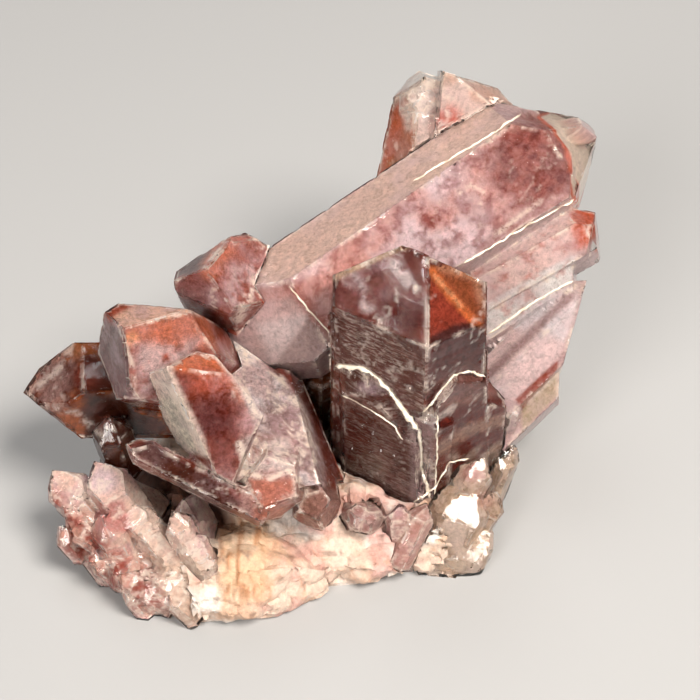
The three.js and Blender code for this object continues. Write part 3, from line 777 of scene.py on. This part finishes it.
def long_crystals():
    inner = crystals(
        "long_crystals", "pink_quartz", seed=110, axis=LONG_AXIS, facing=LONG_FACING,
        cell_sizes=(0.48, 0.68), lines=0.05, wave=0.08, chips=0.3,
    )
    paint, frost_and_glints, within, along = inner.paint, inner.frost_and_glints, inner.within, inner.along
    clouds = inner.noise(9.0, 131)
    small = inner.noise(2.0, 132)
    flecks = inner.noise((1.6, 1.6, 1.1), 133)
    reach = inner.start @ unit(LONG_AXIS)
    main = within((-12.4, 13), (34.4, 47.6), (43, 48), (50.6, 40), (47, 30), (22.4, 17.2), (-3, 1.6))
    paint("b08c8a")
    paint("b67870", main)
    paint("84463e", main * ramp(flecks, 0.47, 0.6) * 0.75)
    # a pale lilac haze on the main face, partly the phantom's milky haze and partly a painted sheen of
    # reflected light
    haze = ramp(clouds + 0.25 * small, 0.5, 0.72) * ramp(reach, -6, 4) * (1 - ramp(reach, 30, 44))
    paint("e8c8d0", main * haze * 0.9)
    paint("682c26", main * ramp(flecks, 0.5, 0.6) * ramp(reach, 6, 24) * 0.6)
    end = main * within((29, 40), (36, 47), (46, 44), (45, 33), (36, 28), (28, 34), soft=2)
    paint("5c2620", end * 0.9)
    paint("8e4c44", end * ramp(flecks, 0.46, 0.6) * 0.8)
    paint("4c1c1a", end * ramp(small, 0.52, 0.68) * 0.7)
    # the upper face painted tan, lighter as painted light from above; pale lower end
    lit_upper_face = inner.looking((-0.5, 0.75, 0.45), 0.8)
    paint("c4a090", lit_upper_face)
    tail = within((-19, 12.2), (-12.2, 12.8), (-3.2, 1.8), (-3.2, -3.6), (-15.6, -3.8), (-22.2, 0.4))
    paint("c09a96", tail)
    paint("9a5a50", tail * along((-19, 11), (-12.4, 12.4), width=3) * 0.6)
    tail_front = within((-19, 5), (-7, 8), (-3.2, -3.6), (-15.6, -3.8), soft=1.5)
    paint("dcc8c6", tail * tail_front * 0.8)
    tail_side = within((-15.6, -3.6), (-8, 7), (-3, 1.6), (-3.2, -3.6), soft=0.6)
    paint("88706c", tail * tail_side * 0.8)
    paint("8c4a40", along((-12.2, 12.8), (-3, 2), width=1.8) * 0.7)
    # the parallel crystals below it
    second = within((22.4, 17.2), (45.4, 30.2), (50.6, 29), (50.6, 22), (45.4, 19.6), (27.4, 9.4))
    third = within((27.4, 9.4), (45.4, 19.6), (44.6, 13.6), (27.4, 2))
    fourth = within((27.4, 2), (45.4, 14.2), (46.4, 11), (41.6, -2), (33, -10.4), (27, -8))
    paint("e0b4ac", second)
    paint("a86054", second * ramp(flecks, 0.5, 0.64) * 0.8)
    paint("dcc4c4", along((24, 17), (44, 28.6), width=2) * 0.7)
    paint("f6e0dc", third)
    paint("b88a84", third * inner.veins(4.0, 136, 0.05))
    paint("dcb8b6", fourth)
    paint("f0dce0", fourth * ramp(clouds, 0.4, 0.6) * 0.9)
    paint("7c5c5a", along((27.4, -5), (44, 11), width=1.3) * 0.8)
    # a red facet and a cream one at their foot
    paint("742a18", within((33, -10), (41.6, -2), (41.8, -3.6), (34.4, -11.8), soft=0.3))
    paint("a48e74", within((34.2, -12), (41.8, -4), (41.6, -9), (34.6, -16.6), soft=0.3))
    # red ends of the phantoms
    rim = inner.start @ unit((0.92, 0.36, 0))
    paint("c4482a", main * ramp(rim - 2 * (small - 0.5), 53, 54) * 0.9)
    paint("f6d0b4", main * ramp(rim, 54.6, 55.4))
    paint("b04426", within((43.8, 28.4), (49.6, 29), (50.4, 22), (45, 19.8), soft=1))
    frost_and_glints(inner.veins(7.0, 134, 0.012) * ramp(inner.noise(6.0, 137), 0.5, 0.6), 0.3)
    paint("6e342e", along((27, 20.6), (38.6, 29.6), width=1.4) * 0.7)
    broken = ramp(small, 0.3, 0.5)
    frost_and_glints(along((28.4, 22.4), (33, 26), (38.4, 30), width=0.7) * broken, 0.8)
    frost_and_glints(along((21.6, 31), (24, 33), (27, 31.6), (26, 29.4), width=0.5) * broken, 0.8)
    inner.veil = 0.2 + 0.4 * ramp(inner.noise(7.0, 135), 0.4, 0.6) * (1 - 0.8 * end)
    inner.worn_and_glinting_edges(seed=1, share=0.5)
    inner.push(-0.35)
    # the phantoms end short of the tips, which leaves clear caps
    inner.end_at((44, 36, 0), (0.97, -0.05, 0.1), main)
    inner.end_at((41.8, 41.6, 0), (0.7, 0.7, 0.1), main)
    inner.end_at((37, 44.2, 0), (0.25, 0.96, 0.1), main)
    second_tip = within((42, 31), (60, 31.4), (60, 17), (44, 18), soft=0.2)
    inner.end_at((48.2, 24, 0), (0.97, -0.2, 0.1), second_tip)
    inner.piece("long_crystals_phantom", phantom_pale, "pink_quartz")
    ridges_on(
        "long_crystals_seams", "long_crystals", seam,
        [
            (0.16, [(12.6, 33.8), (20, 38.2), (28, 43), (34.2, 47.2)]),
            (0.15, [(22.6, 17.4), (34, 24), (45, 30.2)]),
            (0.16, [(27.6, 3.2), (36, 9), (44.6, 14)]),
            (0.1, [(-12.2, 12.8), (-3, 2)]),
        ],
        seed=170,
    )


# Crystals of the left side


def upper_left_crystal():
    inner = crystals(
        "upper_left_crystal", "red_quartz", seed=210, axis=(-0.1, 0.3, 0.95), facing=(0, -1, 0),
        cell_sizes=(0.45, 0.6), lines=0.05, wave=0.12,
    )
    paint, frost_and_glints, within, along, blob = inner.brushes()
    clouds = inner.noise(6.0, 231)
    small = inner.noise(2.0, 232)
    paint("843a2a")
    # painted shade: the upper face, which turns away from the light, painted dark
    paint("381a14", within((-36, 14), (-31, 19.6), (-26.2, 24.4), (-29, 16.4), soft=0.6))
    paint("6c3834", within((-36.4, 14), (-29, 16.4), (-26, 8), (-36.4, 8), soft=0.6) * 0.9)
    paint("947478", blob((-30, 9.4), 5, 4) * ramp(clouds, 0.35, 0.6))
    paint("c2624a", along((-28, 16), (-23.4, 23), width=3.4) * 0.9)
    right_face = within((-24, 17), (-13, 19), (-20, 8), (-25, 9), soft=2)
    paint("c49a9a", right_face * ramp(small, 0.3, 0.6))
    right_edge = along((-13.6, 18), (-18.6, 14), (-21, 9), (-22, 6), width=1.5)
    frost_and_glints(right_edge * ramp(small, 0.35, 0.5), 0.9)
    ridge_line = along((-29, 16.2), (-27.4, 18.6), (-24.6, 24), width=0.9)
    frost_and_glints(ridge_line * ramp(small, 0.4, 0.55), 0.9)
    frost_and_glints(inner.veins(5.0, 233, 0.02) * ramp(clouds, 0.5, 0.6), 0.7)
    inner.veil = 0.2 + 0.4 * ramp(clouds, 0.45, 0.6)
    inner.worn_and_glinting_edges(seed=2, share=0.7)
    inner.push(-0.6)
    inner.piece("upper_left_crystal_phantom", phantom, "red_quartz")


def left_crystal():
    inner = crystals(
        "left_crystal", "red_quartz", seed=310, axis=(-0.25, 0.15, 0.95), facing=(0, -1, 0),
        cell_sizes=(0.45, 0.6), lines=0.05, wave=0.12,
    )
    paint, frost_and_glints, within, along, blob = inner.brushes()
    clouds = inner.noise(6.0, 331)
    small = inner.noise(2.0, 332)
    paint("84341e")
    # the top face painted light tan, partly its own colour and partly painted light falling on it
    paint("dca084", within((-48, 6.6), (-41, 10.2), (-34, 9.4), (-28, 7.6), (-45, 4.4), soft=0.5))
    paint("481408", within((-50.6, 7), (-46, 4), (-43, -10), (-50.6, -10), soft=0.5))
    paint("786064", within((-49, -1), (-45.6, -1), (-42.6, -9.6), (-49, -11), soft=1.2) * 0.3)
    paint("b8583a", within((-45, 4.4), (-28, 7.4), (-26.6, 0), (-40, 1), soft=1.2) * 0.9)
    paint("e07c50", blob((-43.6, 2), 2.6, 2.2) * ramp(small, 0.35, 0.5))
    front_face = within((-43, 1), (-30, 2), (-34, -6), (-41.6, -9), soft=1.8)
    paint("d0a8a6", front_face * ramp(small, 0.25, 0.6))
    corner = along((-46, 4), (-43.4, -3), (-43, -8), (-41.4, -11), width=0.8)
    frost_and_glints(corner * ramp(small, 0.4, 0.55), 0.9)
    frost_and_glints(along((-49, -10.4), (-45.6, -11.4), (-42, -11), width=1.0), 0.9)
    frost_and_glints(along((-45.4, 4.4), (-30, 8), width=0.6) * ramp(small, 0.45, 0.55), 0.8)
    inner.veil = 0.2 + 0.4 * ramp(clouds, 0.45, 0.6)
    inner.worn_and_glinting_edges(seed=3, share=0.7)
    inner.push(-0.6)
    inner.piece("left_crystal_phantom", phantom, "red_quartz")


# The milky root of the centre left crystal
TRUNK = (
    (-27, 12), (-22, 10), (-20, 2), (-15.6, -4), (-12, -7), (-8, -14), (-5, -24), (-5, -31),
    (-14, -30), (-17, -20), (-21, -10), (-26, -2), (-31, 4),
)


def centre_left_crystal():
    inner = crystals(
        "centre_left_crystal", "red_quartz", seed=410, axis=(0.1, 0.4, 0.9), facing=(0, -1, 0.4),
        cell_sizes=(0.42, 0.6), lines=0.06, wave=0.14,
    )
    paint, frost_and_glints, within, along, blob = inner.brushes()
    clouds = inner.noise(6.0, 431)
    small = inner.noise(2.0, 432)
    paint("642618")
    lower_face = within((-23, -8), (-18, -14), (-20, -24), (-26, -24), soft=2.4)
    paint("a8706c", lower_face * ramp(clouds, 0.3, 0.6))
    shoulder = within((-36, -1), (-28, -0.6), (-20.6, -6), (-18.6, -14), (-24, -7), (-35, -4), soft=1)
    paint("c45832", shoulder)
    paint("a8442c", blob((-28, -6), 7, 4) * 0.7)
    paint("44120c", blob((-27.4, -14), 7, 6) * 0.85)
    # the pale milky left face, painted lighter to stand for light shining through it
    pale_lit_face = within((-41, -5), (-36, -3), (-29, -18), (-28, -22), (-34, -20), (-40, -12), soft=0.6)
    paint("f6c6b4", pale_lit_face)
    paint("ffdcc0", within((-38, -10), (-34, -9), (-31, -20), (-34, -20), soft=1))
    frost_and_glints(along((-40.6, -5.6), (-36, -8), (-32.6, -14), (-29.4, -20.6), width=0.9), 0.9)
    top_edge = along((-40.6, -5), (-33, -1), (-27, -1), (-22, -6), (-18.6, -13), width=0.9)
    frost_and_glints(top_edge * ramp(small, 0.42, 0.52))
    # painted shade: a dark band in the gap between the crystal and the rock below
    paint("3a180e", within((-44, -20), (-40, -17.6), (-21, -31), (-27, -33), soft=0.6))
    trunk = within(*TRUNK, soft=1)
    paint("b89c9a", trunk * 0.95)
    paint("dccacc", trunk * ramp(small, 0.45, 0.62) * 0.9)
    paint("f0e4e4", within((-27, 12), (-22, 10), (-18, 0), (-24, -2), (-31, 4), soft=2) * 0.8)
    low_trunk = within((-17, -10), (-9, -12), (-5, -24), (-5, -31), (-14, -30), (-17, -20), soft=2)
    paint("7c5c58", low_trunk * ramp(clouds, 0.25, 0.5) * 0.85)
    # the two lower crystals
    first = within((-22, -17), (-10.6, -17), (-10, -28), (-16, -36), (-22, -32), soft=0.6)
    paint("8f6660", first)
    first_top = within((-21, -17.4), (-12, -17.4), (-11, -24), (-20, -24), soft=1)
    paint("d6bcb4", first_top * ramp(small, 0.35, 0.5))
    paint("a05038", within((-20, -25.6), (-10.6, -26), (-14, -36), (-19, -34), soft=1) * 0.8)
    paint("7c5448", within((-10.6, -27), (-1, -28), (-1, -36), (-9, -37), soft=0.6))
    first_edge = along((-20.6, -24.6), (-16, -25.6), (-12, -24), (-10.6, -26), width=0.8)
    frost_and_glints(first_edge * ramp(small, 0.4, 0.5))
    # white fibres along the root's edges
    fibres = inner.veins(3.4, 433, 0.05) * within(*TRUNK, soft=2)
    frost_and_glints(fibres * ramp(clouds, 0.4, 0.55), 0.8)
    broken = ramp(small, 0.38, 0.52)
    root_edge = along((-23, 10), (-20.6, 4), (-15.6, -4), (-12.4, -7), (-9, -14), (-7, -22), width=1.2)
    frost_and_glints(root_edge * broken)
    frost_and_glints(along((-33, 7.6), (-26, 7), (-22, 4), (-20.6, -2), width=1.0) * broken)
    frost_and_glints(along((-22, -19), (-20.6, -23), (-21.6, -26), width=1.2))
    frost_and_glints(inner.veins(6.0, 434, 0.018) * ramp(clouds, 0.5, 0.6), 0.6)
    inner.veil = 0.15 + 0.35 * ramp(clouds, 0.45, 0.6)
    inner.worn_and_glinting_edges(seed=4, share=0.7)
    inner.push(-0.55 + 0.4 * trunk)
    inner.piece("centre_left_crystal_phantom", phantom, "red_quartz")


def small_front_crystals():
    inner = crystals(
        "small_front_crystals", "pink_quartz", seed=510, axis=(0.1, 0.5, 0.8), facing=(0, -1, 0),
        cell_sizes=(0.34, 0.5), lines=0.04, wave=0.1, chips=0.4,
    )
    inner.grain = inner.start.copy()  # its clouds run with the show plane
    paint, frost_and_glints, within, blob = inner.paint, inner.frost_and_glints, inner.within, inner.blob
    small = inner.noise(2.0, 532)
    paint("94605a")
    paint("b08a80", ramp(small, 0.45, 0.6))
    paint("a87468", within((9, -30), (18, -28), (18, -44), (9, -44), soft=1) * 0.8)
    paint("98606a", blob((9.4, -31), 2.4, 3.6) * 0.7)
    frost_and_glints(inner.veins(3.0, 533, 0.03), 0.6)
    inner.veil[:] = 0.35
    inner.worn_and_glinting_edges(seed=5, share=0.8)
    inner.push(-0.4)
    inner.piece("small_front_crystals_phantom", phantom_pale, "pink_quartz")


def far_left_crystals():
    inner = crystals(
        "far_left_crystals", "red_quartz", seed=610, axis=(-0.98, 0, 0.15), facing=(0, 0, 1),
        cell_sizes=(0.5, 0.7), lines=0.06, wave=0.3,
    )
    paint, frost_and_glints, within, along, blob = inner.brushes()
    clouds = inner.noise(5.0, 631)
    small = inner.noise(1.8, 632)
    paint("44180a")
    paint("8a3e16", ramp(clouds, 0.46, 0.6) * 0.8)
    milky = within((-67, -8), (-60, 0), (-52, 6), (-56, -4), (-57, -13), (-66, -12), soft=1.6)
    paint("94706a", milky * ramp(small, 0.3, 0.5) * 0.6)
    paint("8a4a28", blob((-55, 1), 3, 4) * 0.8)
    paint("64281c", blob((-53, -5), 3.6, 4) * 0.9)
    paint("341408", within((-53, -9), (-43, -9), (-43, -24), (-53, -24), soft=1))
    paint("7c5450", blob((-49.6, -14), 2.4, 4) * ramp(small, 0.4, 0.55) * 0.5)
    broken = ramp(small, 0.42, 0.52)
    frost_and_glints(along((-65.6, -9), (-60, -5), (-57, -2), (-56, 2), width=1.0) * broken, 0.6)
    frost_and_glints(along((-65, -9), (-60, -12), (-55, -12.6), (-50, -17), width=0.9) * broken, 0.5)
    frost_and_glints(milky * inner.veins(2.4, 633, 0.03), 0.35)
    inner.veil[:] = 0.02
    inner.worn_and_glinting_edges(seed=6, share=0.3)
    inner.push(-0.9)
    inner.piece("far_left_crystals_phantom", phantom, "red_quartz")


def back_crystals():
    inner = crystals(
        "back_crystals", "pink_quartz", seed=710, axis=(0.1, 1, -0.1), facing=(0, 0, 1),
        cell_sizes=(0.5, 0.7), lines=0.04, wave=0.25,
    )
    paint, frost_and_glints, within, along, blob = inner.brushes()
    clouds = inner.noise(5.0, 731)
    small = inner.noise(1.8, 732)
    paint("b08674")
    left = within((5, 34), (8, 48), (11.4, 51), (12.6, 44), (12.4, 33), soft=0.6)
    paint("9a5a44", left)
    paint("b04a2c", left * along((6, 34), (8.4, 44), (10, 48), width=2.4) * 0.8)
    paint("7a6038", left * blob((9, 36), 3, 3) * ramp(clouds, 0.4, 0.55))
    bump = within((10, 48), (12, 54), (14, 56), (19.4, 55), (17, 46), (11, 44), soft=1)
    paint("dccabc", bump * ramp(small, 0.3, 0.5))
    frost_and_glints(bump * ramp(inner.noise(1.2, 734), 0.52, 0.6), 0.9)
    paint("ecc8c0", within((13, 52), (13, 35), (34, 47), (24, 54), soft=1) * 0.7)
    paint("b04634", blob((19.6, 45.4), 4.4, 5) * ramp(small, 0.42, 0.52))
    paint("c8927e", within((23, 54), (35, 48), (34, 46.6), (24.4, 50), soft=0.6) * 0.9)
    frost_and_glints(inner.veins(3.0, 733, 0.05) * ramp(clouds, 0.4, 0.55), 0.7)
    frost_and_glints(along((12.6, 33.6), (22, 39.6), (34, 47), width=1.2) * ramp(small, 0.38, 0.5), 0.8)
    inner.veil[:] = 0.3
    inner.worn_and_glinting_edges(seed=7, share=0.8)
    inner.push(-0.7)
    inner.piece("back_crystals_phantom", phantom_pale, "pink_quartz")


# Druse, clear quartz and rock


def druse_ridge():
    inner = crystals(
        "druse_ridge", "pink_quartz", seed=810, axis=(-0.6, 0.72, 0.35), facing=(0, -0.3, 1),
        cell_sizes=(0.4, 0.6), lines=0.06, wave=0.3, chips=0.5,
    )
    paint, frost_and_glints, within, along, blob = inner.brushes()
    clouds = inner.noise(5.0, 831)
    small = inner.noise(2.0, 832)
    paint("e0ae9c")
    paint("dca6a4", ramp(clouds, 0.42, 0.55))
    edge = along((-61, -32), (-52, -40), (-42, -48), (-34, -53), width=6)
    paint("b8705e", edge * 0.75)
    paint("782c20", edge * ramp(small, 0.4, 0.54) * 0.9)
    paint("7c3024", blob((-59.6, -34), 3, 2.6) * 0.9)
    paint("ecc4cc", blob((-49.6, -26), 4.6, 4) * 0.9)
    side_face = within((-50.6, -30.6), (-45.4, -30.4), (-43.6, -36.4), (-51.2, -36.2), soft=0.6)
    paint("a85a56", side_face * 0.8)
    paint("7c2a20", blob((-50, -39), 2.2) * 0.9)
    tan_row = within((-45, -26), (-37, -28), (-28, -46), (-36, -46), (-43, -38), soft=1.5)
    paint("d8b09c", tan_row * 0.8)
    paint("b87a78", blob((-34.6, -32), 3, 3) * 0.6)
    paint("d8b498", within((-40, -42), (-28, -42), (-28, -56), (-34, -56), soft=2) * 0.8)
    frost_and_glints(inner.veins(3.0, 833, 0.06) * ramp(clouds, 0.38, 0.5), 0.8)
    # white specks, partly crust and partly painted sparkles of light on tiny crystal faces
    frost_and_glints(ramp(inner.noise(1.6, 834), 0.6, 0.68), 0.8)
    inner.veil[:] = 0.12
    inner.worn_and_glinting_edges(seed=8, share=0.55)
    inner.push(-0.6)
    inner.piece("druse_ridge_phantom", phantom_pale, "pink_quartz")


def clear_quartz_cluster():
    inner = crystals(
        "clear_quartz_cluster", "clear_quartz", seed=910, axis=(0.34, 0.9, 0.2), facing=(0, -0.3, 1),
        cell_sizes=(0.4, 0.7), lines=0.05, wave=0.3, chips=0.5,
    )
    inner.grain = inner.start.copy()  # its clouds run with the show plane
    paint, frost_and_glints, blob = inner.paint, inner.frost_and_glints, inner.blob
    clouds = inner.noise(4.0, 931)
    small = inner.noise(1.6, 932)
    paint("a08268")
    paint("bca08a", ramp(clouds, 0.42, 0.58))
    paint("8c3c30", blob((24.6, -24.6), 4, 3) * 0.8)
    paint("b87464", blob((27, -30), 3, 2.6) * 0.5)
    paint("e0b89a", blob((27.6, -38), 4, 4) * ramp(small, 0.4, 0.5))
    frost_and_glints(inner.veins(3.0, 933, 0.04), 0.4)
    frost_and_glints(ramp(inner.noise(1.4, 934), 0.66, 0.72), 0.35)
    inner.veil[:] = 0.3
    inner.worn_and_glinting_edges(seed=9, share=0.3)
    inner.crust_and_glints = inner.crust_and_glints * 0.5
    inner.push(-1.0)
    inner.piece("clear_quartz_cluster_core", phantom_pale, "clear_quartz")


# The broken rock
LUMP_SIZE = (5.0, 3.4, 3.4)
LUMP_HEIGHT = 1.8
HOLLOW_DEPTH = 3.4


def matrix_rock():
    surface = Surface("matrix_rock", 0.62)
    # broken lumps and hollows, none of them on the flat foot
    height = surface.start @ SHOW_AXES[:, 2] + MIDDLE[2]
    above = ramp(height, 0.3, 1.5)
    bent = surface.start + 2 * surface.noise(6.0, 50)[:, None]
    distance, number = cells(bent, LUMP_SIZE, 51)
    surface.push((-(distance - 0.5) * LUMP_HEIGHT + (number - 0.5) * LUMP_HEIGHT / 2) * above)
    surface.push((surface.noise(6.0, 52, 6) - 0.5) * HOLLOW_DEPTH * above)
    small = surface.noise(2.2, 55)
    patches = surface.noise(10.0, 53)
    surface.paint("f0d4c0")
    surface.paint("d8a47c", ramp(patches, 0.5, 0.66) * 0.6)
    white = ramp(surface.noise(7.0, 54), 0.46, 0.6)
    surface.paint("fff4ea", white * 0.9)
    surface.paint("dca094", ramp(surface.noise(6.0, 57), 0.52, 0.64) * 0.7)
    # the iron-stained fibrous patch, and painted shade in the hollow above it
    orange = surface.within((-26, -33), (-16, -32), (-16, -50), (-26, -50), soft=2)
    fibres = surface.noise((0.9, 6.0, 6.0), 58)
    surface.paint("f0c8a0", orange * 0.7)
    surface.paint("b87440", orange * ramp(fibres, 0.5, 0.62) * 0.7)
    surface.push(orange * (fibres - 0.5) * 1.4 * above)
    surface.paint("6c4c40", ramp(small, 0.66, 0.74) * 0.6)
    # painted shade: the hollow between the druse and the centre crystals, with no white crust in it
    hollow = surface.within((-46, -18), (-26, -29), (-22, -36), (-34, -35), (-44, -28), soft=2)
    surface.paint("6a3826", hollow * 0.9)
    surface.crust_and_glints = white * (1 - hollow)
    surface.piece("matrix_rock_skin", rock, "matrix", True)


# Stage, lights and camera, with places in metres

FLOOR_SIZE = 3
FLOOR_GREY = 0.37
ROOM_TONE = (1.0, 0.96, 0.93, 1)
ROOM_STRENGTH = 0.12
AIM = Vector((0, 0, 0.03))  # the lights point at the middle of the specimen


def stage():
    bpy.ops.mesh.primitive_plane_add(size=FLOOR_SIZE)
    floor = bpy.context.active_object
    floor.name = "floor"
    nodes = Nodes("floor")
    nodes.set(Base_Color=(FLOOR_GREY, FLOOR_GREY, FLOOR_GREY, 1), Roughness=0.8)
    floor.data.materials.append(nodes.material)
    world = bpy.data.worlds.new("studio")
    world.use_nodes = True
    background = world.node_tree.nodes["Background"]
    background.inputs["Color"].default_value = ROOM_TONE
    background.inputs["Strength"].default_value = ROOM_STRENGTH
    bpy.context.scene.world = world


def area_light(name, place, size, power, tone):
    light = bpy.data.lights.new(name, "AREA")
    light.shape = "DISK"
    light.size = size
    light.energy = power
    light.color = tone
    thing = bpy.data.objects.new(name, light)
    thing.location = place
    thing.rotation_mode = "QUATERNION"
    thing.rotation_quaternion = (AIM - Vector(place)).to_track_quat("-Z", "Y")
    bpy.context.scene.collection.objects.link(thing)


def camera():
    data = bpy.data.cameras.new("camera")
    data.sensor_width = SENSOR
    data.lens = SENSOR * VIEWING_DISTANCE / FRAME_WIDTH
    data.clip_start = 0.01
    data.clip_end = 10
    thing = bpy.data.objects.new("camera", data)
    thing.location = EYE
    thing.rotation_mode = "QUATERNION"
    thing.rotation_quaternion = Vector(-OUT).to_track_quat("-Z", "Y")
    bpy.context.scene.collection.objects.link(thing)
    bpy.context.scene.camera = thing


clear = clear_material("clear_skin")
phantom = phantom_material("red_phantom")
phantom_pale = phantom_material("pale_phantom", mottle=0.3, speck="7a3c34", haze="d4bfc2")
seam = seam_material("cream_seam")
rock = rock_material("matrix_rock")

front_prism()
long_crystals()
upper_left_crystal()
left_crystal()
centre_left_crystal()
small_front_crystals()
far_left_crystals()
back_crystals()
druse_ridge()
clear_quartz_cluster()
matrix_rock()

stage()
area_light("key", place=(0.4, -0.34, 0.84), size=0.45, power=15.5, tone=(1.0, 0.94, 0.87))
area_light("fill", place=(-0.45, -0.75, 0.6), size=0.5, power=8.0, tone=(1.0, 0.96, 0.92))
area_light("top", place=(-0.1, 0.5, 0.9), size=0.5, power=2.6, tone=(1.0, 1.0, 1.0))
camera()
bpy.context.scene.view_settings.view_transform = "Standard"
